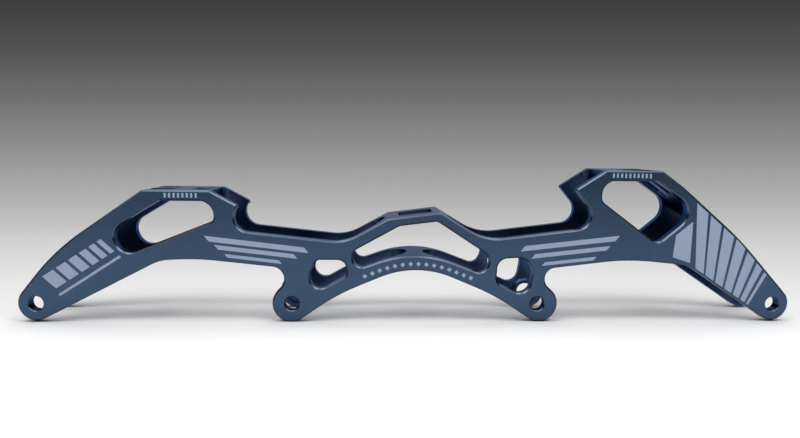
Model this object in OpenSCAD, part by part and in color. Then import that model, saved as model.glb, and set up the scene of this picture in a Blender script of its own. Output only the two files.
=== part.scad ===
// Inline skate frame for four large wheels, with two boot mounts.
// Millimetres. X runs from toe to heel, Y across the frame, Z up.
// The origin is on the floor, midway between the first and last axle.

/* [Wheels and axles] */
// Diameter of the largest wheel
wheel_d = 110; // [106:0.5:112]
// Free space left round each wheel
wheel_clear = 1.5; // [1:0.25:3]
// Depth of the round across each wheel space, which follows the wheel's tyre
tyre_round = 13; // [9:0.5:15]
// Gap between one wheel and the next
wheel_gap = 1.76; // [1:0.02:3]
// Threaded axle hole in the near plate, at the thread's crest
axle_thread_d = 6.65; // [6.45:0.05:7]
// Clearance axle hole in the far plate
axle_clear_d = 8.1; // [7.8:0.1:8.6]
// Bevel at the mouth of each axle hole
hole_bevel = 0.3; // [0.2:0.05:0.6]
// Space between the lugs, where a wheel hub goes
hub_gap = 24.2; // [23.6:0.1:25]
// Diameter of the lug round each axle hole
lug_d = 11; // [10:0.2:12]
// Width of the sloped foot round each lug
lug_foot = 0.9; // [0.4:0.1:1.2]
// Radius of the plate's end round the first and last axle
boss_end_r = 7.7; // [7.4:0.1:8.2]
// Radius of the plate's foot round the two inner axles
boss_mid_r = 8.4; // [8:0.1:9]

/* [Plates] */
// Overall width of the frame
frame_w = 36; // [35:0.25:38]
// Thickness of each side plate
plate_t = 4.8; // [4.4:0.1:5.2]

/* [Boot mounts] */
// Distance between the two boot bolts
mount_pitch = 195; // [192:0.5:198]
// Height of the front deck's top
front_deck_z = 58.9; // [57:0.1:61]
// Height of the rear deck's top
rear_deck_z = 69.8; // [68:0.1:72]
// Thickness of both decks
deck_t = 5; // [4:0.1:5.5]
// Width of the slot for a boot bolt
bolt_slot_w = 7; // [6.2:0.1:8]
// Length of the slot for a boot bolt, across the frame
bolt_slot_l = 17; // [14:0.5:19]
// Radius of the corners where a deck's inner end meets the plates
deck_corner_r = 4; // [2:0.5:5]
// Bevel round the top of a bolt slot
bolt_slot_bevel = 0.6; // [0.2:0.1:1]
// Width of each of the two weight-saving slots in a deck
lane_w = 6.6; // [5:0.2:7.4]
// Width of the rib between the two weight-saving slots
lane_rib = 6.4; // [5:0.2:8]
// Distance from a boot bolt to the start of the weight-saving slots
lane_start = 11; // [9.5:0.5:12]
// Length of the weight-saving slots
lane_run = 15; // [12:0.5:17]

/* [Front end] */
// Flat of the front deck behind its bolt
front_flat_in = 6; // [5:0.5:9]
// Flat of the front deck ahead of its bolt
front_flat_out = 23; // [20:0.5:24]
// Length of the ear behind the front flat
front_ear_run = 12.5; // [10:0.1:13.5]
// Drop of the ear behind the front flat
front_ear_drop = 6.7; // [5:0.1:8]
// Bend of the nose, as a share of the way from the front bolt to the first axle
nose_knee_at = 0.873; // [0.84:0.001:0.89]
// Height of the bend of the nose
nose_knee_z = 31.9; // [30:0.1:34]
// Radius of the bend of the nose
nose_knee_r = 100; // [70:5:110]

/* [Rear end] */
// Flat of the rear deck ahead of its bolt
rear_flat_in = 11.5; // [10:0.5:13]
// Flat of the rear deck behind its bolt
rear_flat_out = 14.4; // [13:0.1:17]
// Length of the ear ahead of the rear flat
rear_ear_run = 14; // [13:0.1:16]
// Drop of the ear ahead of the rear flat
rear_ear_drop = 9; // [8:0.1:11]
// Length of the rear deck's first slope
tail_slope_run = 10.4; // [8:0.1:12]
// Drop of the rear deck's first slope
tail_slope_drop = 7.5; // [6:0.1:8]
// Bend of the tail, as a share of the way from the rear bolt to the last axle
tail_knee_at = 0.752; // [0.7:0.001:0.78]
// Height of the bend of the tail
tail_knee_z = 38.7; // [37:0.1:40]
// Radius of the bend of the tail
tail_knee_r = 150; // [100:10:180]

/* [Rail and bridge] */
// Radius of the recess between an ear and the rail
recess_r = 6.8; // [5.5:0.1:7.2]
// Distance from the front bolt back to the corner of the front recess
front_recess_x = 9.4; // [8.6:0.1:10.4]
// Height of the corner of the front recess
front_recess_z = 42; // [41:0.1:43]
// Distance from the rear bolt forward to the corner of the rear recess
rear_recess_x = 11.6; // [10.8:0.1:12.4]
// Height of the corner of the rear recess
rear_recess_z = 44.2; // [43:0.1:45]
// Distance from the second axle back to the lowest point of the front rail
front_sag_x = 23.4; // [22:0.1:25]
// Height of the lowest point of the front rail
front_sag_z = 36.1; // [35.5:0.1:37]
// Distance from the third axle forward to the lowest point of the rear rail
rear_sag_x = 24.4; // [23:0.1:26]
// Height of the lowest point of the rear rail
rear_sag_z = 37.4; // [36.5:0.1:38.5]
// Distance from the middle forward to the bridge's front corner
bridge_front_x = 12.7; // [11:0.1:14]
// Height of the bridge's front corner
bridge_front_z = 47; // [46:0.1:48]
// Distance from the middle back to the bridge's rear corner
bridge_rear_x = 10.7; // [10:0.1:12]
// Height of the bridge's rear corner
bridge_rear_z = 50; // [49:0.1:51]
// Height of the bar over the middle window
bridge_t = 3.9; // [3:0.1:4.5]
// Length of the slot in the bridge
bridge_slot_l = 15.5; // [12:0.5:17]
// Width of the slot in the bridge, across the frame
bridge_slot_w = 18; // [14:0.5:22]
// Radius of the corners of the slot in the bridge
bridge_slot_r = 2; // [1:0.5:4]

/* [Belly and arch] */
// Distance from the front bolt forward to the front bend of the belly
belly_front_x = 16.2; // [14:0.2:17]
// Height of the front bend of the belly
belly_front_z = 27.8; // [27:0.1:28.4]
// Height of the belly under the front bolt
belly_sweep_front_z = 28.6; // [28.2:0.1:29.2]
// Distance from the rear bolt back to the rear bend of the belly
belly_rear_x = 28.8; // [27:0.2:30]
// Height of the rear bend of the belly
belly_rear_z = 26.4; // [25.8:0.1:27]
// Height of the belly under the rear bolt
belly_sweep_rear_z = 29.1; // [28.6:0.1:29.8]
// How far out from its axle the round of each inner foot lies: front, rear
foot_shift = [0.3, 0.9]; // [0:0.1:1.2]
// Radius of the recess over each inner foot: front, rear
heel_r = [5.6, 5.2]; // [5:0.1:6.2]
// Straight stretch between an inner foot and its recess, measured between the two circles
heel_gap = 0.15; // [0.05:0.05:0.5]
// Angle over the floor at which the recess lies from the foot's middle: front, rear
heel_angle = [52, 56.6]; // [48:0.2:58]
// Height at which the two sides of the arch would meet
arch_z = 27.2; // [26.5:0.1:28]
// Radius at the top of the arch
arch_r = 42; // [30:1:48]
// Distance from an inner axle to the bend in the side of the arch
arch_knee_x = 20; // [18.5:0.1:22]
// Height of that bend over the axle
arch_knee_z = 3.9; // [3.4:0.1:4.4]

/* [Front window] */
// Height of the bar over the front window
front_bar = 4.5; // [3.8:0.1:5]
// Distance from the front bolt forward to the front window's upper corner
front_window_top_x = 15.6; // [14:0.1:17]
// Distance from the front bolt back to the front window's rear edge
front_window_rear_x = 7.7; // [6.8:0.1:8.2]
// Height of the front window's lower rear corner
front_window_rear_z = 45.2; // [44.5:0.1:46]
// Front window's front corner, as a share of the way from the bolt to the first axle
front_window_front_at = 0.532; // [0.5:0.002:0.55]
// Height of the front window's front corner
front_window_front_z = 41.1; // [40:0.1:42]
// Front window's lowest corner, as a share of the way from the bolt to the first axle
front_window_foot_at = 0.458; // [0.43:0.002:0.47]
// Height of the front window's lowest corner
front_window_foot_z = 29.2; // [28.5:0.1:31]

/* [Rear window] */
// Height of the bar over the rear window
rear_bar = 4.6; // [4:0.1:6]
// Distance from the rear bolt back to the rear window's upper corner
rear_window_top_x = 12; // [10:0.1:13]
// Distance from the rear bolt forward to the rear window's front edge
rear_window_front_x = 13.2; // [12.6:0.1:13.6]
// Height of the rear window's lower front corner
rear_window_front_z = 55.8; // [55:0.1:57]
// Rear window's lowest corner, as a share of the way from the bolt to the last axle
rear_window_foot_at = 0.194; // [0.17:0.002:0.21]
// Height of the rear window's lowest corner
rear_window_foot_z = 36.2; // [35.5:0.1:38]
// Rear window's rear corner, as a share of the way from the bolt to the last axle
rear_window_rear_at = 0.46; // [0.43:0.002:0.47]
// Height of the rear window's rear corner
rear_window_rear_z = 51.8; // [51:0.1:53]

/* [Small windows] */
// Front small window's foot, from the second axle: distance back and height
front_hole_foot = [3.1, 9.2]; // [1:0.1:31]
// Front small window's rear corner, from the second axle: distance back and height
front_hole_rear = [24.9, 21.3]; // [1:0.1:31]
// Front small window's front upper corner, from the second axle: distance back and height
front_hole_front = [10.7, 28.3]; // [1:0.1:31]
// Rear small window's foot, from the third axle: distance forward and height
rear_hole_foot = [4.5, 11.1]; // [1:0.1:31]
// Rear small window's rear upper corner, from the third axle: distance forward and height
rear_hole_rear = [1.3, 30.1]; // [1:0.1:31]
// Rear small window's front upper corner, from the third axle: distance forward and height
rear_hole_top = [18.6, 29]; // [1:0.1:31]
// Rear small window's front lower corner, from the third axle: distance forward and height
rear_hole_front = [19.2, 17.9]; // [1:0.1:31]

/* [Middle window] */
// Height of the arm under the middle window, at its peak
arm_t = 6.2; // [5:0.1:7]
// Middle window's front foot, from the second axle: distance back and height
arm_front_foot = [29.4, 24.1]; // [20:0.1:34]
// Middle window's rear foot, from the third axle: distance forward and height
arm_rear_foot = [25.2, 21.7]; // [20:0.1:34]
// Middle window's front end, from the second axle: distance back and height
strut_front_foot = [25.7, 31.3]; // [20:0.1:34]
// Middle window's rear end, from the third axle: distance forward and height
strut_rear_foot = [21.3, 29.6]; // [20:0.1:34]
// Distance from the bridge's front corner back to the middle window's front upper corner
strut_front_top = 5; // [4:0.1:6]
// Distance from the bridge's rear corner forward to the middle window's rear upper corner
strut_rear_top = 1.3; // [0.8:0.1:2]

/* [Hidden] */
anodised = "#3f526d";
$fn = 64;
// Largest distance between an arc and its straight pieces
sag = 0.01;
// How far a cut runs past the face that it opens
over = 1;
// Number of flat steps in the round of a wheel space
tyre_steps = 20;
// Share of a deck's corner radius that is left standing along the plates
deck_corner_share = 0.73;

// Places of the axles, bolts and plates
axle_z = boss_mid_r;
axle_pitch = wheel_d + wheel_gap;
axle_x = [for (i = [0 : 3]) (i - 1.5) * axle_pitch];
front_x = -mount_pitch / 2;
rear_x = mount_pitch / 2;
nose_run = front_x - axle_x[0];
tail_run = axle_x[3] - rear_x;
inner_w = frame_w - 2 * plate_t;
wheel_space_r = wheel_d / 2 + wheel_clear;

// Corner radii of the outline that are alike all over the frame
deck_edge_r = 3;
ear_root_r = 2;
ear_tip_r = 1;
belly_r = 18;
belly_sweep_r = 110;
arch_knee_r = 100;
tail_slope_r = 60;
front_sag_r = 22;
rear_sag_r = 26;
bridge_front_r = 4;
bridge_rear_r = 2.5;

// Corner radii of the windows
window_end_r = 6.6;
window_tail_r = 8;
window_corner_r = 4.3;
window_foot_r = 3;
hole_foot_r = 5;
// Lean of the front small window's rear edge
front_hole_lean = 1;

// Corners of the outline: X, height, corner radius, and the radius of a circle
// that the outline wraps, which is negative where the circle lies outside the plate
front_toe = [front_x - front_flat_out, front_deck_z, deck_edge_r];
front_heel = [front_x + front_flat_in, front_deck_z, ear_root_r];
front_ear = [front_heel[0] + front_ear_run, front_deck_z - front_ear_drop, ear_tip_r];
rear_toe = [rear_x - rear_flat_in, rear_deck_z, ear_root_r];
rear_heel = [rear_x + rear_flat_out, rear_deck_z, deck_edge_r];
rear_ear = [rear_toe[0] - rear_ear_run, rear_deck_z - rear_ear_drop, ear_tip_r];
tail_slope = [rear_heel[0] + tail_slope_run, rear_deck_z - tail_slope_drop, tail_slope_r];
nose_knee = [front_x - nose_run * nose_knee_at, nose_knee_z, nose_knee_r];
tail_knee = [rear_x + tail_run * tail_knee_at, tail_knee_z, tail_knee_r];
front_recess = [front_x + front_recess_x, front_recess_z, recess_r];
rear_recess = [rear_x - rear_recess_x, rear_recess_z, recess_r];
front_sag = [axle_x[1] + front_sag_x, front_sag_z, front_sag_r];
rear_sag = [axle_x[2] - rear_sag_x, rear_sag_z, rear_sag_r];
bridge_front = [-bridge_front_x, bridge_front_z, bridge_front_r];
bridge_rear = [bridge_rear_x, bridge_rear_z, bridge_rear_r];
front_foot = [axle_x[1] - foot_shift[0], axle_z, 0, boss_mid_r];
rear_foot = [axle_x[2] + foot_shift[1], axle_z, 0, boss_mid_r];
front_heel_reach = boss_mid_r + heel_r[0] + heel_gap;
rear_heel_reach = boss_mid_r + heel_r[1] + heel_gap;
front_hollow_x = front_foot[0] - front_heel_reach * cos(heel_angle[0]);
front_hollow_z = axle_z + front_heel_reach * sin(heel_angle[0]);
rear_hollow_x = rear_foot[0] + rear_heel_reach * cos(heel_angle[1]);
rear_hollow_z = axle_z + rear_heel_reach * sin(heel_angle[1]);
arch_front = [axle_x[1] + arch_knee_x, axle_z + arch_knee_z, arch_knee_r];
arch_rear = [axle_x[2] - arch_knee_x, axle_z + arch_knee_z, arch_knee_r];
arch_top = [0, arch_z, arch_r];
plate_corners = [
    [axle_x[0], axle_z, 0, boss_end_r],
    [front_x - belly_front_x, belly_front_z, belly_r],
    [front_x, belly_sweep_front_z, belly_sweep_r],
    [front_hollow_x, front_hollow_z, 0, -heel_r[0]],
    front_foot,
    arch_front,
    arch_top,
    arch_rear,
    rear_foot,
    [rear_hollow_x, rear_hollow_z, 0, -heel_r[1]],
    [rear_x, belly_sweep_rear_z, belly_sweep_r],
    [rear_x + belly_rear_x, belly_rear_z, belly_r],
    [axle_x[3], axle_z, 0, boss_end_r],
    tail_knee,
    tail_slope,
    rear_heel,
    rear_toe,
    rear_ear,
    rear_recess,
    rear_sag,
    bridge_rear,
    bridge_front,
    front_sag,
    front_recess,
    front_ear,
    front_heel,
    front_toe,
    nose_knee,
];

// Corners of the windows: X, height, corner radius
front_window_top = front_deck_z - front_bar;
front_window = [
    [front_x - nose_run * front_window_front_at, front_window_front_z, window_end_r],
    [front_x - nose_run * front_window_foot_at, front_window_foot_z, window_end_r],
    [front_x + front_window_rear_x, front_window_rear_z, window_foot_r],
    [front_x + front_window_rear_x, front_window_top, window_end_r],
    [front_x - front_window_top_x, front_window_top, window_foot_r],
];
rear_window_top = rear_deck_z - rear_bar;
rear_window = [
    [rear_x - rear_window_front_x, rear_window_top, window_end_r],
    [rear_x - rear_window_front_x, rear_window_front_z, window_foot_r],
    [rear_x + tail_run * rear_window_foot_at, rear_window_foot_z, window_corner_r],
    [rear_x + tail_run * rear_window_rear_at, rear_window_rear_z, window_tail_r],
    [rear_x + rear_window_top_x, rear_window_top, window_foot_r],
];
front_hole = [
    [axle_x[1] + front_hole_foot[0], front_hole_foot[1], hole_foot_r],
    [axle_x[1] + front_hole_rear[0], front_hole_rear[1], window_foot_r],
    [axle_x[1] + front_hole_rear[0] - front_hole_lean, front_hole_front[1], window_corner_r],
    [axle_x[1] + front_hole_front[0], front_hole_front[1], window_foot_r],
];
rear_hole = [
    [axle_x[2] - rear_hole_foot[0], rear_hole_foot[1], hole_foot_r],
    [axle_x[2] - rear_hole_rear[0], rear_hole_rear[1], window_end_r],
    [axle_x[2] - rear_hole_top[0], rear_hole_top[1], hole_foot_r],
    [axle_x[2] - rear_hole_front[0], rear_hole_front[1], window_corner_r],
];
arm_front = [axle_x[1] + arm_front_foot[0], arm_front_foot[1], window_corner_r];
arm_top = [0, arch_z + arm_t, arch_r + arm_t];
arm_rear = [axle_x[2] - arm_rear_foot[0], arm_rear_foot[1], window_corner_r];
middle_window = [
    arm_front,
    arm_top,
    arm_rear,
    [axle_x[2] - strut_rear_foot[0], strut_rear_foot[1], window_corner_r],
    under_bridge(bridge_rear_x - strut_rear_top, window_foot_r),
    under_bridge(strut_front_top - bridge_front_x, window_corner_r),
    [axle_x[1] + strut_front_foot[0], strut_front_foot[1], window_corner_r],
];

// Corner on the underside of the bridge's bar
function under_bridge(x, r) =
    let (slope = (bridge_rear_z - bridge_front_z) / (bridge_rear_x + bridge_front_x))
    [x, bridge_front_z + slope * (x + bridge_front_x) - bridge_t, r];

// Unit vectors along a heading and to its right
function along(heading) = [cos(heading), sin(heading)];
function right_of(heading) = [sin(heading), -cos(heading)];

// Parts of a corner
function place(corner) = [corner[0], corner[1]];
function wrapped(corner) = len(corner) > 3 ? corner[3] : 0;

// Smallest turn from one heading to another
function turn(from, to) = to - from - 360 * round((to - from) / 360);

// Heading of the straight edge from one corner to the next
function edge(a, b) =
    let (d = place(b) - place(a))
    atan2(d[1], d[0]) + asin((wrapped(a) - wrapped(b)) / norm(d));

// Number of straight pieces in an arc
function pieces(r, angle) = ceil(angle / (2 * acos(1 - sag / max(r, 1))));

// Points of the arc that rounds one corner
function rounding(before, corner, after) =
    let (
        start = edge(before, corner),
        bend = turn(start, edge(corner, after)),
        hugs = wrapped(corner) != 0,
        r = hugs ? wrapped(corner) : sign(bend) * corner[2],
        reach = abs(r) * tan(abs(bend) / 2),
        middle = hugs ? place(corner) : place(corner) - reach * along(start) - r * right_of(start),
        steps = pieces(abs(r), abs(bend))
    )
    r == 0 ? [place(corner)] : [for (k = [0 : steps]) middle + r * right_of(start + bend * k / steps)];

// Flat shape with rounded corners, drawn in X and height
module rounded(corners) {
    n = len(corners);
    polygon([for (i = [0 : n - 1]) each rounding(corners[(i + n - 1) % n], corners[i], corners[(i + 1) % n])]);
}

// Flat shape set upright and given a width across the frame
module upright(from_y, to_y) {
    translate([0, to_y, 0])
        rotate([90, 0, 0])
            linear_extrude(to_y - from_y)
                children();
}

// Space swept by one wheel, rounded across like its tyre, cut from whatever joins the plates
module wheel_space(x) {
    half = inner_w / 2 + over;
    tread = [
        for (k = [0 : tyre_steps])
            let (a = 180 * k / tyre_steps)
            [wheel_space_r - tyre_round * (1 - sin(a)), -half * cos(a)]
    ];
    translate([x, 0, axle_z])
        rotate([90, 0, 0])
            rotate_extrude($fn = 256)
                polygon(concat([[0, -half]], tread, [[0, half]]));
}

// Open end of the space between the ears, with round corners, cut from the inner end of a deck
module ear_space(x, way) {
    half = inner_w / 2;
    r = deck_corner_r;
    shape = [[0, -half, r], [0, half, r], [way * 2 * half, half + over, 0], [way * 2 * half, -half - over, 0]];
    translate([x, 0, front_deck_z - 2 * deck_t])
        linear_extrude(rear_deck_z)
            rounded(shape);
}

// Raised lug with a sloped foot, on the inner face of the near plate
module lug(x) {
    lug_h = (inner_w - hub_gap) / 2;
    translate([x, -inner_w / 2, axle_z])
        rotate([-90, 0, 0])
            union() {
                cylinder(h = lug_h, d1 = lug_d + 2 * lug_foot, d2 = lug_d);
                translate([0, 0, -plate_t / 2])
                    cylinder(h = plate_t, d = lug_d, center = true);
            }
}

// Axle hole through a near plate and its lug, with a bevelled mouth
module axle_hole(x, d) {
    translate([x, -frame_w / 2 - over, axle_z])
        rotate([-90, 0, 0])
            union() {
                cylinder(h = frame_w / 2 + over, d = d);
                cylinder(h = hole_bevel + over, d1 = d + 2 * (hole_bevel + over), d2 = d);
            }
}

// Side plate on the near side, with holes of one size
module side_plate(hole_d) {
    difference() {
        union() {
            upright(-frame_w / 2, -inner_w / 2)
                difference() {
                    rounded(plate_corners);
                    rounded(front_window);
                    rounded(front_hole);
                    rounded(middle_window);
                    rounded(rear_hole);
                    rounded(rear_window);
                }
            for (x = axle_x)
                lug(x);
        }
        for (x = axle_x)
            axle_hole(x, hole_d);
    }
}

// Slot across the frame for a boot bolt, bevelled at the deck's top
module bolt_slot(x, top) {
    r = bolt_slot_w / 2;
    half = bolt_slot_l / 2 - r;
    mouth = bolt_slot_bevel + over;
    for (y = [-half, half]) {
        translate([x, y, top - deck_t - over])
            cylinder(h = deck_t + 2 * over, r = r);
        translate([x, y, top - bolt_slot_bevel])
            cylinder(h = mouth, r1 = r, r2 = r + mouth);
    }
    translate([x, half, top])
        rotate([90, 0, 0])
            linear_extrude(2 * half)
                polygon([
                    [-r, -deck_t - over],
                    [r, -deck_t - over],
                    [r, -bolt_slot_bevel],
                    [r + mouth, over],
                    [-r - mouth, over],
                    [-r, -bolt_slot_bevel],
                ]);
}

// Pair of weight-saving slots that run down a deck's outer slope
module lanes(x, way) {
    r = lane_w / 2;
    first = x + way * (lane_start + r);
    last = x + way * (lane_start + lane_run - r);
    for (y = [-1, 1] * (lane_rib + lane_w) / 2)
        translate([0, y, 0])
            union() {
                for (end = [first, last])
                    translate([end, 0, 0])
                        cylinder(h = rear_deck_z + over, r = r);
                translate([min(first, last), -r, 0])
                    cube([abs(last - first), lane_w, rear_deck_z + over]);
            }
}

// Point on the ear behind a deck, as far as the deck's round corners reach
function ear_root(root, tip) =
    let (run = deck_corner_share * deck_corner_r / abs(tip[0] - root[0]))
    [root[0] + run * (tip[0] - root[0]), root[1] + run * (tip[1] - root[1]), 0];

// Band under a run of outline corners, of one height
module band(corners, height) {
    n = len(corners);
    rounded(concat(corners, [for (i = [n - 1 : -1 : 0]) corners[i] - [0, height, 0]]));
}

module near_side_plate() {
    color(anodised)
        side_plate(axle_thread_d);
}

module far_side_plate() {
    color(anodised)
        mirror([0, 1, 0])
            side_plate(axle_clear_d);
}

module front_deck() {
    color(anodised)
        difference() {
            upright(-inner_w / 2, inner_w / 2)
                band([ear_root(front_heel, front_ear), front_heel, front_toe, [nose_knee[0], nose_knee[1], 0]], deck_t);
            ear_space(front_heel[0], 1);
            wheel_space(axle_x[0]);
            wheel_space(axle_x[1]);
            bolt_slot(front_x, front_deck_z);
            lanes(front_x, -1);
        }
}

module rear_deck() {
    color(anodised)
        difference() {
            upright(-inner_w / 2, inner_w / 2)
                band([ear_root(rear_toe, rear_ear), rear_toe, rear_heel, tail_slope, [tail_knee[0], tail_knee[1], 0]], deck_t);
            ear_space(rear_toe[0], -1);
            wheel_space(axle_x[2]);
            wheel_space(axle_x[3]);
            bolt_slot(rear_x, rear_deck_z);
            lanes(rear_x, 1);
        }
}

module upper_bridge() {
    color(anodised)
        difference() {
            upright(-inner_w / 2, inner_w / 2)
                band([[front_sag[0], front_sag[1], 0], bridge_front, bridge_rear, [rear_sag[0], rear_sag[1], 0]], bridge_t);
            wheel_space(axle_x[1]);
            wheel_space(axle_x[2]);
            translate([0, 0, bridge_front_z - bridge_t - over])
                linear_extrude(bridge_rear_z - bridge_front_z + bridge_t + 2 * over)
                    rounded([
                        for (corner = [[-1, -1], [1, -1], [1, 1], [-1, 1]])
                            [corner[0] * bridge_slot_l / 2, corner[1] * bridge_slot_w / 2, bridge_slot_r]
                    ]);
        }
}

module lower_bridge() {
    color(anodised)
        difference() {
            upright(-inner_w / 2, inner_w / 2)
                rounded([
                    [arch_front[0], arch_front[1], 0],
                    arch_top,
                    [arch_rear[0], arch_rear[1], 0],
                    [arm_rear[0], arm_rear[1], 0],
                    arm_top,
                    [arm_front[0], arm_front[1], 0],
                ]);
            wheel_space(axle_x[1]);
            wheel_space(axle_x[2]);
        }
}

near_side_plate();
far_side_plate();
front_deck();
rear_deck();
upper_bridge();
lower_bridge();
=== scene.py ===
import math

import bpy
import numpy as np
from mathutils import Matrix, Vector


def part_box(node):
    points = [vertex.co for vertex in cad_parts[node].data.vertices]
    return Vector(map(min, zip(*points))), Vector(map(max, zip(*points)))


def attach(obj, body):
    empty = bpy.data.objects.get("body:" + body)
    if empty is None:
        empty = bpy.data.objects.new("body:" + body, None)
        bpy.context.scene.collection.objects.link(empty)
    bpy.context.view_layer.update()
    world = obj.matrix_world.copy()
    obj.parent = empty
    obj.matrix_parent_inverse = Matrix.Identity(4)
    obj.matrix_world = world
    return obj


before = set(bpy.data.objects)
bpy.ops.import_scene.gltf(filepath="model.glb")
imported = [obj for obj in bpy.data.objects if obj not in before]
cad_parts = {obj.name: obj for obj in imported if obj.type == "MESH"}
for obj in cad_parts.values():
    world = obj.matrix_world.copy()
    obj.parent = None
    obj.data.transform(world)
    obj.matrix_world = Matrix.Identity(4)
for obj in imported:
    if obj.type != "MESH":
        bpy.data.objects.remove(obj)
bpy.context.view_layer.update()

bl_info = {
    "name": "Inline skate frame",
    "version": (1, 0, 0),
    "blender": (4, 5, 0),
    "location": "3D View > Sidebar > Skate frame",
    "description": "Dresses the packed skate frame with its finish, marks and studio",
    "category": "Object",
}

MM = 0.001
PLATES = ("near_side_plate", "far_side_plate")
WEBS = ("front_deck", "rear_deck", "upper_bridge", "lower_bridge")
FACE_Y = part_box("far_side_plate")[1].y
SIDES = {"near": -1, "far": 1}

# Camera solved from the photograph: place in metres, angles in radians, lens and centre in pixels.
IMAGE_W, IMAGE_H = 800, 438
CAMERA_PLACE = (-0.01781, -0.35157, 0.07943)
YAW, PITCH, ROLL = 0.06652, 0.13128, -0.01411
FOCAL, CENTRE = 748.15, (426.3, 245.17)

# Lamps: place, target and size in metres, and the stage's value that sets their power.
LAMPS = {
    "overhead": ((-0.02, -0.05, 0.95), (-0.02, -0.05, 0), (2.6, 2.2), "fill_power"),
    "left": ((-0.3, -0.26, 0.75), (0, -0.03, 0.03), (0.28, 0.44), "side_power"),
    "right": ((0.3, -0.26, 0.75), (0, -0.03, 0.03), (0.28, 0.44), "side_power"),
    "rear": ((0, 1.4, 0.5), (0, 0, 0.03), (1.2, 1.2), "rear_power"),
}

# Backdrop's light by the slope of the view: white underfoot, dark overhead.
BACKDROP = ((-0.278, 1.0), (-0.153, 0.70), (-0.072, 0.445), (-0.005, 0.279),
            (0.0595, 0.165), (0.124, 0.0865), (0.187, 0.047))
# Slopes at the two ends of the backdrop's ramp.
SLOPE_LOW, SLOPE_HIGH = -0.28, 0.2
# Least depth that a slope is measured over, so that it stays small to the sides.
LEAST_DEPTH = 0.85

# Floor's paleness by its depth behind the frame's middle, in metres: painted shade that darkens
# the paper towards the back, in place of the light's falloff.
PAPER_SHADE = ((-0.12, 0.9), (-0.066, 0.875), (-0.034, 0.816),
         (0.006, 0.712), (0.056, 0.672), (0.17, 0.60))
# Radii of the floor's inner rings, in metres, and the number of points on a ring.
FLOOR_RINGS, FLOOR_POINTS = (0.02, 0.1, 0.4), 64
# Distances between which the camera sees the floor fade out, with X counted by half.
FADE_START, FADE_END = 0.1, 0.42
FADE_SHARE = (0.5, 1, 0)

# Blasted metal: spread of the dye's clouds, roughness, and depth and strength of the pits.
CLOUD = 25 * MM
BLAST_ROUGHNESS = (0.24, 0.32)
BLAST_DEPTH, BLAST_STRENGTH = 0.05 * MM, 0.12
# Share of the edge break to each side of its middle that takes the edge's colour.
EDGE_SHARE = 0.48

# Laser marks: pitch and lean of the passes, size of the specks, metal left and roughness.
PASS_PITCH, PASS_LEAN = 0.5 * MM, math.radians(25)
SPECK = 1.2 * MM
MARK_METAL, MARK_ROUGHNESS = 0.4, (0.5, 0.65)
# Period of a wave texture whose scale is 1.
WAVE_PERIOD = 0.314

# Paper: size of its fibres, the range of tone that they give, roughness and weak shine.
FIBRE, FIBRE_TONE = 2 * MM, (0.98, 1)
PAPER_ROUGHNESS, PAPER_SHINE = 0.9, 0.1

# Points closer than the weld are one, and corners over the sharp angle aren't shaded smooth.
WELD, SHARP = 0.001 * MM, math.radians(30)
# A point this near to the plate's outer face lies on it.
FACE_SLACK = 0.01 * MM
# A face whose normal has less than this share across the frame is a wall.
WALL_LEAN = 0.5


def linear(text):
    """Linear colour from an sRGB hex value."""
    srgb = np.array([int(text[i:i + 2], 16) for i in (1, 3, 5)]) / 255
    low, high = srgb / 12.92, ((srgb + 0.055) / 1.055) ** 2.4
    return tuple(float(c) for c in np.where(srgb <= 0.04045, low, high))


class SkateFinish(bpy.types.PropertyGroup):
    """Sizes and colours of the finish."""
    anodised: bpy.props.FloatVectorProperty(
        name="Anodised colour", description="Colour of the blue anodised aluminium",
        default=linear("#41556f"), size=3, subtype="COLOR", min=0, max=1)
    anodised_deep: bpy.props.FloatVectorProperty(
        name="Deep colour", description="Colour where the dye took more strongly",
        default=linear("#3d5068"), size=3, subtype="COLOR", min=0, max=1)
    edge: bpy.props.FloatVectorProperty(
        name="Edge colour", description="Colour of the broken edges, where the dye is thin",
        default=linear("#4d5765"), size=3, subtype="COLOR", min=0, max=1)
    edge_tint: bpy.props.FloatVectorProperty(
        name="Grazing tint", description="Tint of the metal seen along its surface",
        default=linear("#a8bbdd"), size=3, subtype="COLOR", min=0, max=1)
    # Painted shade: the channel colour is darker than the outer faces and stands in for the shade
    # inside the channel and the windows.
    channel: bpy.props.FloatVectorProperty(
        name="Channel colour", description="Colour inside the channel and the windows",
        default=linear("#394a6c"), size=3, subtype="COLOR", min=0, max=1)
    mark: bpy.props.FloatVectorProperty(
        name="Mark colour", description="Colour of the laser marks",
        default=linear("#a3b2cb"), size=3, subtype="COLOR", min=0, max=1)
    mark_worn: bpy.props.FloatVectorProperty(
        name="Mark shade", description="Colour between the passes of the laser",
        default=linear("#93a3be"), size=3, subtype="COLOR", min=0, max=1)
    edge_break: bpy.props.FloatProperty(
        name="Edge break", description="Width of the bevel along the plates' outer edges",
        default=0.7 * MM, min=0.1 * MM, max=1 * MM, unit="LENGTH")
    blast_grain: bpy.props.FloatProperty(
        name="Blast grain", description="Size of the pits of the blasted surface",
        default=0.35 * MM, min=0.1 * MM, max=2 * MM, unit="LENGTH")
    mark_proud: bpy.props.FloatProperty(
        name="Mark height", description="How far the marks stand off the plate",
        default=0.02 * MM, min=0.01 * MM, max=0.1 * MM, unit="LENGTH")


class SkateStage(bpy.types.PropertyGroup):
    """Floor, light and camera."""
    floor_r: bpy.props.FloatProperty(
        name="Floor radius", description="Radius of the round floor",
        default=1.5, min=1, max=10, unit="LENGTH")
    fill_power: bpy.props.FloatProperty(
        name="Fill power", description="Power of the large lamp overhead, in watts",
        default=25.1, min=0, max=100)
    side_power: bpy.props.FloatProperty(
        name="Side power", description="Power of each small lamp above the ends, in watts",
        default=1.43, min=0, max=100)
    rear_power: bpy.props.FloatProperty(
        name="Rear power", description="Power of the soft lamp behind, in watts",
        default=2.5, min=0, max=100)
    ambient: bpy.props.FloatProperty(
        name="Ambient", description="Strength of the even light from all round",
        default=0.02, min=0, max=2)


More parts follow.
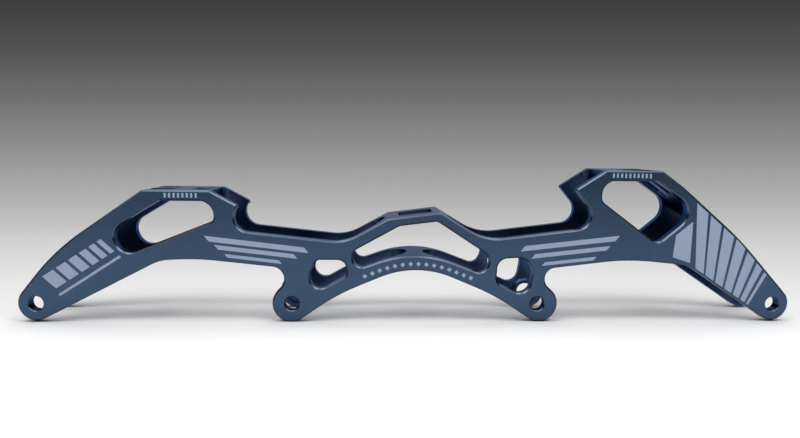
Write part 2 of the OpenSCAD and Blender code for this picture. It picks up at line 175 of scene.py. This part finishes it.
def add(tree, kind, links=(), **settings):
    """Adds one node, applies its settings and input values, and links its inputs.

    A setting whose name is an input's name is put on that socket, and links are
    pairs of an input's name or number and the socket that feeds it.
    """
    node = tree.nodes.new(kind)
    for key, value in settings.items():
        if hasattr(node, key):
            setattr(node, key, value)
        else:
            node.inputs[key.replace("_", " ")].default_value = value
    for key, source in links:
        tree.links.new(node.inputs[key], source)
    return node


def ramp(node, stops):
    """Sets a colour ramp to pairs of a place and a grey level."""
    elements = node.color_ramp.elements
    while len(elements) < len(stops):
        elements.new(1)
    for element, (place, grey) in zip(elements, stops):
        element.position = place
        element.color = (grey, grey, grey, 1)
    return node


def blend(tree, share, low, high):
    """Mixes two colours, each a value or a socket, by a share, and returns the mix's socket."""
    mix = add(tree, "ShaderNodeMix", [("Factor", share)], data_type="RGBA")
    for key, colour in (("A", low), ("B", high)):
        if isinstance(colour, bpy.types.NodeSocket):
            tree.links.new(mix.inputs[key], colour)
        else:
            mix.inputs[key].default_value = (*colour, 1)
    return mix.outputs["Result"]


def shader(name):
    """Empty material with a Principled shader and Object coordinates."""
    material = bpy.data.materials.new(name)
    material.use_nodes = True
    tree = material.node_tree
    tree.nodes.clear()
    surface = add(tree, "ShaderNodeBsdfPrincipled")
    add(tree, "ShaderNodeOutputMaterial", [("Surface", surface.outputs["BSDF"])])
    place = add(tree, "ShaderNodeTexCoord").outputs["Object"]
    return material, tree, surface, place


def blasted_blue_aluminium(finish):
    """Blasted and anodised aluminium: a satin blue metal with a fine even grain.

    The eye gets a soft sheen that follows the light, a faint cloudiness of the dye over
    a few centimetres, a grain that breaks up the highlights and a greyer line along the
    broken edges, where the dye is thin. Everything inside the channel and the windows
    takes a darker blue, which is painted shade.
    """
    material, tree, surface, place = shader("blasted_blue_aluminium")
    surface.inputs["Metallic"].default_value = 1
    surface.inputs["Specular Tint"].default_value = (*finish.edge_tint, 1)
    cloud = add(tree, "ShaderNodeTexNoise", [("Vector", place)], Scale=1 / CLOUD, Detail=3)
    grain = add(tree, "ShaderNodeTexNoise", [("Vector", place)],
                Scale=1 / finish.blast_grain, Detail=2).outputs["Fac"]
    rough = add(tree, "ShaderNodeMapRange", [("Value", grain)],
                To_Min=BLAST_ROUGHNESS[0], To_Max=BLAST_ROUGHNESS[1])
    bump = add(tree, "ShaderNodeBump", [("Height", grain)],
               Strength=BLAST_STRENGTH, Distance=BLAST_DEPTH)
    across = add(tree, "ShaderNodeSeparateXYZ", [(0, place)]).outputs["Y"]
    depth = add(tree, "ShaderNodeMath", [(0, across)], operation="ABSOLUTE").outputs[0]
    # Painted shade: every face nearer the middle than the plates' outer faces, inside the channel
    # and the windows, takes the darker channel colour.
    inside = add(tree, "ShaderNodeMapRange", [("Value", depth)],
                 From_Min=FACE_Y - finish.edge_break, From_Max=FACE_Y - 2 * finish.edge_break)
    bevel = add(tree, "ShaderNodeMath", [(0, depth)], operation="COMPARE")
    bevel.inputs[1].default_value = FACE_Y - 0.5 * finish.edge_break
    bevel.inputs[2].default_value = EDGE_SHARE * finish.edge_break
    outer = blend(tree, cloud.outputs["Fac"], finish.anodised_deep, finish.anodised)
    # Painted shade: the darker channel colour is mixed in inside.
    dye_and_channel_shade = blend(tree, inside.outputs["Result"], outer, finish.channel)
    edged = blend(tree, bevel.outputs[0], dye_and_channel_shade, finish.edge)
    tree.links.new(surface.inputs["Base Color"], edged)
    tree.links.new(surface.inputs["Roughness"], rough.outputs["Result"])
    tree.links.new(surface.inputs["Normal"], bump.outputs["Normal"])
    return material


def laser_mark(finish):
    """Laser marking: the dye is burnt out, which leaves a pale matt surface.

    The eye gets a dull silver-blue with the faint lines of the laser's passes. Real
    passes are 0.05 mm apart; here they are 0.5 mm, so that they show at all.
    """
    material, tree, surface, place = shader("laser_mark")
    surface.inputs["Metallic"].default_value = MARK_METAL
    turned = add(tree, "ShaderNodeMapping", [("Vector", place)])
    turned.inputs["Rotation"].default_value = (0, PASS_LEAN, 0)
    passes = add(tree, "ShaderNodeTexWave", [("Vector", turned.outputs["Vector"])],
                 bands_direction="Z", Scale=WAVE_PERIOD / PASS_PITCH, Distortion=0.6, Detail=1)
    speck = add(tree, "ShaderNodeTexNoise", [("Vector", place)],
                Scale=1 / SPECK, Detail=3).outputs["Fac"]
    share = add(tree, "ShaderNodeMath", [(0, passes.outputs["Fac"]), (1, speck)],
                operation="MULTIPLY")
    rough = add(tree, "ShaderNodeMapRange", [("Value", speck)],
                To_Min=MARK_ROUGHNESS[0], To_Max=MARK_ROUGHNESS[1])
    tint = blend(tree, share.outputs["Value"], finish.mark, finish.mark_worn)
    tree.links.new(surface.inputs["Base Color"], tint)
    tree.links.new(surface.inputs["Roughness"], rough.outputs["Result"])
    return material


def paint(piece, material):
    """Gives a piece one material in all its slots."""
    piece.data.materials.clear()
    piece.data.materials.append(material)


def material_of(name, maker):
    """The named material, made on first use."""
    return bpy.data.materials.get(name) or maker(bpy.context.scene.skate_finish)


def geometry_tree(name):
    """Empty geometry node tree with one geometry in and one out."""
    tree = bpy.data.node_groups.new(name, "GeometryNodeTree")
    tree.interface.new_socket("Geometry", in_out="INPUT", socket_type="NodeSocketGeometry")
    tree.interface.new_socket("Geometry", in_out="OUTPUT", socket_type="NodeSocketGeometry")
    return tree, add(tree, "NodeGroupInput").outputs[0]


def smooth_by_angle(tree, solid):
    """Joins loose triangles and shades them smooth, with sharp corners kept."""
    joined = add(tree, "GeometryNodeMergeByDistance", [("Geometry", solid)], Distance=WELD)
    angle = add(tree, "GeometryNodeInputMeshEdgeAngle").outputs["Unsigned Angle"]
    sharp = add(tree, "ShaderNodeMath", [(0, angle)], operation="GREATER_THAN")
    sharp.inputs[1].default_value = SHARP
    soft = add(tree, "GeometryNodeSetShadeSmooth",
               [("Geometry", joined.outputs[0])], domain="FACE")
    kept = add(tree, "GeometryNodeSetShadeSmooth",
               [("Geometry", soft.outputs[0]), ("Selection", sharp.outputs[0])], domain="EDGE")
    kept.inputs["Shade Smooth"].default_value = False
    add(tree, "NodeGroupOutput", [(0, kept.outputs[0])])


def smooth_tree():
    """Smooth shading alone."""
    tree, solid = geometry_tree("smooth_by_angle")
    smooth_by_angle(tree, solid)
    return tree


def edge_break_tree():
    """Breaks the edges of a plate's outer face, then shades it smooth.

    The outer face is raised off its walls by an empty step. The face's rim then moves
    in along the walls' normals, and the walls' rim moves down by as much, which opens
    the step into a bevel of 45 degrees. Round holes keep the bevel that they have.
    """
    tree, solid = geometry_tree("edge_break")
    width = bpy.context.scene.skate_finish.edge_break
    joined = add(tree, "GeometryNodeMergeByDistance", [("Geometry", solid)], Distance=WELD)
    normal = add(tree, "GeometryNodeInputNormal").outputs[0]
    facing = add(tree, "ShaderNodeSeparateXYZ", [(0, normal)]).outputs["Y"]
    lean = add(tree, "ShaderNodeMath", [(0, facing)], operation="ABSOLUTE").outputs[0]
    upright = add(tree, "ShaderNodeMath", [(0, lean)], operation="LESS_THAN")
    upright.inputs[1].default_value = WALL_LEAN
    walls = add(tree, "ShaderNodeVectorMath",
                [(0, normal), ("Scale", upright.outputs[0])], operation="SCALE")
    shared = add(tree, "GeometryNodeFieldOnDomain", data_type="FLOAT_VECTOR", domain="FACE")
    tree.links.new(shared.inputs[0], walls.outputs[0])
    outward = add(tree, "ShaderNodeVectorMath", [(0, shared.outputs[0])], operation="NORMALIZE")
    noted = add(tree, "GeometryNodeStoreNamedAttribute",
                data_type="FLOAT_VECTOR", domain="POINT", Name="outward")
    tree.links.new(noted.inputs["Geometry"], joined.outputs[0])
    tree.links.new(noted.inputs["Value"], outward.outputs[0])

    place = add(tree, "GeometryNodeInputPosition").outputs[0]
    depth = add(tree, "ShaderNodeSeparateXYZ", [(0, place)]).outputs["Y"]
    far = add(tree, "ShaderNodeMath", [(0, depth)], operation="ABSOLUTE").outputs[0]
    outer = add(tree, "ShaderNodeMath", [(0, far)], operation="GREATER_THAN")
    outer.inputs[1].default_value = FACE_Y - FACE_SLACK
    step = add(tree, "GeometryNodeExtrudeMesh",
               [("Mesh", noted.outputs[0]), ("Selection", outer.outputs[0])],
               mode="FACES", Offset_Scale=0, Individual=False)
    rim = add(tree, "GeometryNodeInputNamedAttribute",
              data_type="FLOAT_VECTOR", Name="outward").outputs[0]
    inward = add(tree, "ShaderNodeVectorMath", [(0, rim)], operation="SCALE", Scale=-width)
    face = add(tree, "GeometryNodeSetPosition",
               [("Geometry", step.outputs["Mesh"]), ("Selection", step.outputs["Top"]),
                ("Offset", inward.outputs[0])])
    broken = add(tree, "ShaderNodeVectorMath", [(0, rim)], operation="LENGTH").outputs["Value"]
    side = add(tree, "ShaderNodeMath", [(0, depth)], operation="SIGN").outputs[0]
    way = add(tree, "ShaderNodeMath", [(0, broken), (1, side)], operation="MULTIPLY").outputs[0]
    drop = add(tree, "ShaderNodeMath", [(0, way)], operation="MULTIPLY")
    drop.inputs[1].default_value = -width
    down = add(tree, "ShaderNodeCombineXYZ", [("Y", drop.outputs[0])])
    below = add(tree, "FunctionNodeBooleanMath",
                [(0, step.outputs["Side"]), (1, step.outputs["Top"])], operation="NIMPLY")
    wall = add(tree, "GeometryNodeSetPosition",
               [("Geometry", face.outputs[0]), ("Selection", below.outputs[0]),
                ("Offset", down.outputs[0])])
    smooth_by_angle(tree, wall.outputs[0])
    return tree


def group_of(name, maker):
    """The named node group, made on first use."""
    return bpy.data.node_groups.get(name) or maker()


def nodes_modifier(piece, tree):
    """Adds a geometry node modifier that runs one tree."""
    piece.modifiers.new(tree.name, "NODES").node_group = tree


class SKATE_OT_plates(bpy.types.Operator):
    """Break the plates' outer edges and give them their anodised finish"""
    bl_idname = "skate.plates"
    bl_label = "Side plates"

    def execute(self, context):
        for name in PLATES:
            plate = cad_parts[name]
            nodes_modifier(plate, group_of("edge_break", edge_break_tree))
            paint(plate, material_of("blasted_blue_aluminium", blasted_blue_aluminium))
        return {"FINISHED"}


class SKATE_OT_webs(bpy.types.Operator):
    """Give the decks and bridges their anodised finish"""
    bl_idname = "skate.webs"
    bl_label = "Decks and bridges"

    def execute(self, context):
        for name in WEBS:
            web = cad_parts[name]
            nodes_modifier(web, group_of("smooth_by_angle", smooth_tree))
            paint(web, material_of("blasted_blue_aluminium", blasted_blue_aluminium))
        return {"FINISHED"}


def marks(name, patches):
    """Makes one group of laser marks on each plate from patches in X and height, in mm.

    A patch is a grid of points, an array of rows by columns by two, on the plate's
    outer face. Each is given a thin closed body that stands just proud of the face, with
    three quarters of it in the plate.
    """
    finish = bpy.context.scene.skate_finish
    for side, sign in SIDES.items():
        points, faces, start = [], [], 0
        for patch in patches:
            rows, columns = patch.shape[:2]
            flat = patch.reshape(-1, 2) * MM
            depth = np.full((len(flat), 1), sign * (FACE_Y + finish.mark_proud))
            points.append(np.hstack([flat[:, :1], depth, flat[:, 1:]]))
            at = start + np.arange(rows * columns).reshape(rows, columns)
            quads = np.stack([at[:-1, :-1], at[:-1, 1:], at[1:, 1:], at[1:, :-1]], axis=-1)
            quads = quads.reshape(-1, 4)
            faces.append(quads if sign < 0 else quads[:, ::-1])
            start += rows * columns
        mesh = bpy.data.meshes.new(f"{name}_{side}")
        mesh.from_pydata(np.vstack(points).tolist(), [], np.vstack(faces).tolist())
        piece = bpy.data.objects.new(mesh.name, mesh)
        bpy.context.scene.collection.objects.link(piece)
        body = piece.modifiers.new("body", "SOLIDIFY")
        body.thickness = 4 * finish.mark_proud
        body.offset = -1
        paint(piece, material_of("laser_mark", laser_mark))
        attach(piece, "root")


def slanted_bar(corner, heading, length, width, slant):
    """Slanted bar: a straight run of the given length along a heading, swept sideways
    by its width, with every step sideways also moved along by the tangent of the slant."""
    along = np.array([math.cos(heading), math.sin(heading)])
    across = np.array([-along[1], along[0]]) + math.tan(slant) * along
    u, v = np.meshgrid([0, length], [0, width])
    return np.asarray(corner) + u[..., None] * along + v[..., None] * across


class SKATE_OT_nose_bars(bpy.types.Operator):
    """Row of slanted bars on the nose, over a thin rule"""
    bl_idname = "skate.nose_bars"
    bl_label = "Nose bars"

    def execute(self, context):
        heading, slant = math.radians(33), math.radians(-14)
        along = np.array([math.cos(heading), math.sin(heading)])
        first, height, gap = np.array([-158.5, 15.2]), 7.6, 1.5
        lengths = np.array([5.6, 4.9, 4.2, 3.5, 2.8, 2.1])
        starts = np.concatenate([[0], np.cumsum(lengths[:-1] + gap)])
        patches = [slanted_bar(first + start * along, heading, length, height, slant)
                   for start, length in zip(starts, lengths)]
        rule_shift, rule_length, rule_width = [1.6, -3.4], 32, 1.1
        patches.append(slanted_bar(first + rule_shift, heading, rule_length, rule_width, slant))
        marks("nose_bars", patches)
        return {"FINISHED"}


class SKATE_OT_rail_stripes(bpy.types.Operator):
    """Three slanted stripes along each rail"""
    bl_idname = "skate.rail_stripes"
    bl_label = "Rail stripes"

    def execute(self, context):
        slant, fall = math.radians(45), math.radians(6.5)
        front, front_step = np.array([-92, 36.4]), np.array([4, -3.6])
        rear, rear_step = np.array([47.5, 32.6]), np.array([5, -3.3])
        sizes = [(44, 2.3), (35, 1.9), (24, 1.5)]
        patches = []
        for k, (length, width) in enumerate(sizes):
            patches.append(slanted_bar(front + k * front_step, -fall, length, width, -slant))
            patches.append(slanted_bar(rear + k * rear_step, fall, length, width, slant))
        marks("rail_stripes", patches)
        return {"FINISHED"}


class SKATE_OT_deck_ticks(bpy.types.Operator):
    """Row of ticks on each plate beside the boot mounts"""
    bl_idname = "skate.deck_ticks"
    bl_label = "Deck ticks"

    def execute(self, context):
        upright, pitch, height, width = math.radians(90), 1.9, 2.0, 0.9
        rows = [((-110, 55.7), 8), ((89.5, 66.5), 10)]
        patches = [slanted_bar([x + pitch * k, z], upright, height, width, 0)
                   for (x, z), count in rows for k in range(count)]
        marks("deck_ticks", patches)
        return {"FINISHED"}


class SKATE_OT_arch_row(bpy.types.Operator):
    """Row of small diamonds that follows the arch"""
    bl_idname = "skate.arch_row"
    bl_label = "Arch row"

    def execute(self, context):
        # Arc (r sin t, top - r (1 - cos t)) for t within the bend, which then runs on straight.
        radius, top, bend = 45.0, 26.7, math.radians(21)
        front, rear, count, half = -24, 26, 15, 1.1
        reach = np.linspace(front, rear, count)
        turned = np.clip(reach / radius, -bend, bend)
        spare = reach - radius * turned
        x = radius * np.sin(turned) + spare * np.cos(turned)
        z = top - radius * (1 - np.cos(turned)) - spare * np.sin(turned)
        diamond = half * np.array([[[0, -1], [1, 0]], [[-1, 0], [0, 1]]])
        marks("arch_row", [diamond + [a, b] for a, b in zip(x, z)])
        return {"FINISHED"}


class SKATE_OT_tail_panel(bpy.types.Operator):
    """Panel of bars that fan out across the tail"""
    bl_idname = "skate.tail_panel"
    bl_label = "Tail panel"

    def execute(self, context):
        # Each bar spans a stretch of the low line and the same stretch of the bent high line.
        low = np.array([[129.6, 25.1], [156.4, 7.5]])
        high = np.array([[128.6, 55.4], [150.0, 37.4], [164.6, 21.4]])
        high_share = np.array([0, 0.58, 1])
        stretches = [(0, 0.15), (0.185, 0.33), (0.365, 0.5), (0.535, 0.66), (0.695, 0.8),
                     (0.835, 0.91), (0.945, 0.98)]
        window_bar = np.array([[[118.5, 30.3], [126.8, 27.6]], [[119.5, 40.4], [127.2, 46.9]]])
        patches = [window_bar]
        up = np.linspace(0, 1, 5)[:, None, None]
        for start, stop in stretches:
            share = np.linspace(start, stop, 4)
            bottom = low[0] + share[:, None] * (low[1] - low[0])
            top = np.stack([np.interp(share, high_share, column) for column in high.T], axis=-1)
            patches.append((1 - up) * bottom + up * top)
        marks("tail_panel", patches)
        return {"FINISHED"}


def floor_material():
    """White backdrop paper: a matt floor that holds the soft shadows under the part. It darkens
    with depth behind the part, as painted shade.

    Where the camera looks, it fades out with distance into the studio's backdrop.
    """
    material, tree, surface, place = shader("backdrop_paper")
    fibre = add(tree, "ShaderNodeTexNoise", [("Vector", place)], Scale=1 / FIBRE, Detail=2)
    tone = add(tree, "ShaderNodeMapRange", [("Value", fibre.outputs["Fac"])],
               To_Min=FIBRE_TONE[0], To_Max=FIBRE_TONE[1])
    back = add(tree, "ShaderNodeSeparateXYZ", [(0, place)]).outputs["Y"]
    near, far = PAPER_SHADE[0][0], PAPER_SHADE[-1][0]
    away = add(tree, "ShaderNodeMapRange", [("Value", back)], From_Min=near, From_Max=far)
    # Painted shade: the paper's colour darkens with depth behind the part.
    pale = ramp(add(tree, "ShaderNodeValToRGB", [("Fac", away.outputs["Result"])]),
                [((depth - near) / (far - near), grey) for depth, grey in PAPER_SHADE])
    tint = add(tree, "ShaderNodeMath", operation="MULTIPLY",
               links=[(0, tone.outputs["Result"]), (1, pale.outputs["Color"])])
    tree.links.new(surface.inputs["Base Color"], tint.outputs[0])
    surface.inputs["Roughness"].default_value = PAPER_ROUGHNESS
    surface.inputs["Specular IOR Level"].default_value = PAPER_SHINE

    squeezed = add(tree, "ShaderNodeVectorMath", [(0, place)], operation="MULTIPLY")
    squeezed.inputs[1].default_value = FADE_SHARE
    reach = add(tree, "ShaderNodeVectorMath",
                [(0, squeezed.outputs["Vector"])], operation="LENGTH")
    fade = add(tree, "ShaderNodeMapRange", [("Value", reach.outputs["Value"])],
               interpolation_type="SMOOTHSTEP", From_Min=FADE_START, From_Max=FADE_END)
    seen = add(tree, "ShaderNodeLightPath").outputs["Is Camera Ray"]
    share = add(tree, "ShaderNodeMath",
                [(0, fade.outputs["Result"]), (1, seen)], operation="MULTIPLY")
    clear = add(tree, "ShaderNodeBsdfTransparent")
    mixed = add(tree, "ShaderNodeMixShader",
                [(0, share.outputs[0]), (1, surface.outputs[0]), (2, clear.outputs[0])])
    tree.links.new(tree.nodes["Material Output"].inputs["Surface"], mixed.outputs[0])
    return material


class SKATE_OT_stage(bpy.types.Operator):
    """Floor, soft studio light and the camera of the photograph"""
    bl_idname = "skate.stage"
    bl_label = "Studio"

    def execute(self, context):
        stage = context.scene.skate_stage
        self.floor(context.scene, stage)
        for name, (place, target, size, power) in LAMPS.items():
            self.lamp(name, place, target, size, getattr(stage, power))
        self.world(context.scene, stage)
        self.camera(context.scene)
        context.scene.view_settings.view_transform = "Standard"
        return {"FINISHED"}

    def floor(self, scene, stage):
        """Round floor: rings of points at reach * (cos turn, sin turn), joined by quads."""
        turns = np.linspace(0, 2 * np.pi, FLOOR_POINTS, endpoint=False)
        turn, reach = np.meshgrid(turns, [*FLOOR_RINGS, stage.floor_r])
        points = np.stack([reach * np.cos(turn), reach * np.sin(turn), 0 * turn], axis=-1)
        rings, spokes = turn.shape
        at = np.arange(rings * spokes).reshape(rings, spokes)
        after = np.roll(at, -1, axis=1)
        quads = np.stack([at[:-1], at[1:], after[1:], after[:-1]], axis=-1).reshape(-1, 4)
        mesh = bpy.data.meshes.new("floor")
        mesh.from_pydata(points.reshape(-1, 3).tolist(), [], [*quads.tolist(), at[0].tolist()])
        floor = bpy.data.objects.new("floor", mesh)
        scene.collection.objects.link(floor)
        paint(floor, floor_material())

    def lamp(self, name, place, target, size, power):
        """Rectangular area lamp that faces a target."""
        data = bpy.data.lights.new(name, "AREA")
        data.shape, data.energy = "RECTANGLE", power
        data.size, data.size_y = size
        lamp = bpy.data.objects.new(name, data)
        lamp.location = place
        aim = Vector(target) - Vector(place)
        lamp.rotation_euler = aim.to_track_quat("-Z", "Y").to_euler()
        bpy.context.scene.collection.objects.link(lamp)

    def world(self, scene, stage):
        """Even light, with a grey backdrop that darkens upwards where the camera sees it."""
        world = bpy.data.worlds.new("studio")
        scene.world = world
        world.use_nodes = True
        tree = world.node_tree
        tree.nodes.clear()
        ahead = Vector((math.sin(YAW), math.cos(YAW), 0))
        up = Vector((math.sin(ROLL), 0, math.cos(ROLL)))
        way = add(tree, "ShaderNodeTexCoord").outputs["Generated"]
        depth = add(tree, "ShaderNodeVectorMath", [(0, way)], operation="DOT_PRODUCT")
        depth.inputs[1].default_value = ahead
        depth = add(tree, "ShaderNodeMath", [(0, depth.outputs["Value"])], operation="ABSOLUTE")
        depth = add(tree, "ShaderNodeMath", [(0, depth.outputs[0])], operation="MAXIMUM")
        depth.inputs[1].default_value = LEAST_DEPTH
        rise = add(tree, "ShaderNodeVectorMath", [(0, way)], operation="DOT_PRODUCT")
        rise.inputs[1].default_value = up
        slope = add(tree, "ShaderNodeMath",
                    [(0, rise.outputs["Value"]), (1, depth.outputs[0])], operation="DIVIDE")
        share = add(tree, "ShaderNodeMapRange", [("Value", slope.outputs[0])],
                    From_Min=SLOPE_LOW, From_Max=SLOPE_HIGH)
        fade = ramp(add(tree, "ShaderNodeValToRGB", [("Fac", share.outputs[0])]),
                    [((at - SLOPE_LOW) / (SLOPE_HIGH - SLOPE_LOW), grey) for at, grey in BACKDROP])
        seen = add(tree, "ShaderNodeBackground", [("Color", fade.outputs["Color"])])
        even = add(tree, "ShaderNodeBackground", Strength=stage.ambient)
        even.inputs["Color"].default_value = (1, 1, 1, 1)
        camera = add(tree, "ShaderNodeLightPath").outputs["Is Camera Ray"]
        mixed = add(tree, "ShaderNodeMixShader",
                    [(0, camera), (1, even.outputs[0]), (2, seen.outputs[0])])
        add(tree, "ShaderNodeOutputWorld", [("Surface", mixed.outputs[0])])

    def camera(self, scene):
        """Camera solved from the photograph: place, yaw, pitch, roll and lens."""
        level = Vector((math.sin(YAW), math.cos(YAW), 0))
        ahead = math.cos(PITCH) * level - math.sin(PITCH) * Vector((0, 0, 1))
        right = Vector((math.cos(YAW), -math.sin(YAW), 0))
        down = ahead.cross(right)
        across = math.cos(ROLL) * right + math.sin(ROLL) * down
        below = math.cos(ROLL) * down - math.sin(ROLL) * right
        data = bpy.data.cameras.new("camera")
        data.sensor_width, data.sensor_fit = 36, "HORIZONTAL"
        data.lens = FOCAL * data.sensor_width / IMAGE_W
        data.shift_x = (IMAGE_W / 2 - CENTRE[0]) / IMAGE_W
        data.shift_y = (CENTRE[1] - IMAGE_H / 2) / IMAGE_W
        data.clip_start, data.clip_end = 0.01, 50
        camera = bpy.data.objects.new("camera", data)
        axes = Matrix((across, -below, -ahead)).transposed()
        camera.matrix_world = Matrix.Translation(CAMERA_PLACE) @ axes.to_4x4()
        scene.collection.objects.link(camera)
        scene.camera = camera


class SKATE_PT_panel(bpy.types.Panel):
    """Steps that dress the skate frame"""
    bl_idname = "SKATE_PT_panel"
    bl_label = "Skate frame"
    bl_space_type = "VIEW_3D"
    bl_region_type = "UI"
    bl_category = "Skate frame"

    def draw(self, context):
        for group in (context.scene.skate_finish, context.scene.skate_stage):
            for key in group.__annotations__:
                self.layout.prop(group, key)
        for step in STEPS:
            self.layout.operator(step.bl_idname)


STEPS = (SKATE_OT_plates, SKATE_OT_webs, SKATE_OT_nose_bars, SKATE_OT_rail_stripes,
         SKATE_OT_deck_ticks, SKATE_OT_arch_row, SKATE_OT_tail_panel, SKATE_OT_stage)
CLASSES = (SkateFinish, SkateStage, *STEPS, SKATE_PT_panel)


def register():
    for cls in CLASSES:
        bpy.utils.register_class(cls)
    bpy.types.Scene.skate_finish = bpy.props.PointerProperty(type=SkateFinish)
    bpy.types.Scene.skate_stage = bpy.props.PointerProperty(type=SkateStage)


def unregister():
    del bpy.types.Scene.skate_stage
    del bpy.types.Scene.skate_finish
    for cls in reversed(CLASSES):
        bpy.utils.unregister_class(cls)


def main():
    register()
    bpy.ops.skate.plates()
    bpy.ops.skate.webs()
    bpy.ops.skate.nose_bars()
    bpy.ops.skate.rail_stripes()
    bpy.ops.skate.deck_ticks()
    bpy.ops.skate.arch_row()
    bpy.ops.skate.tail_panel()
    bpy.ops.skate.stage()


if __name__ == "__main__":
    main()
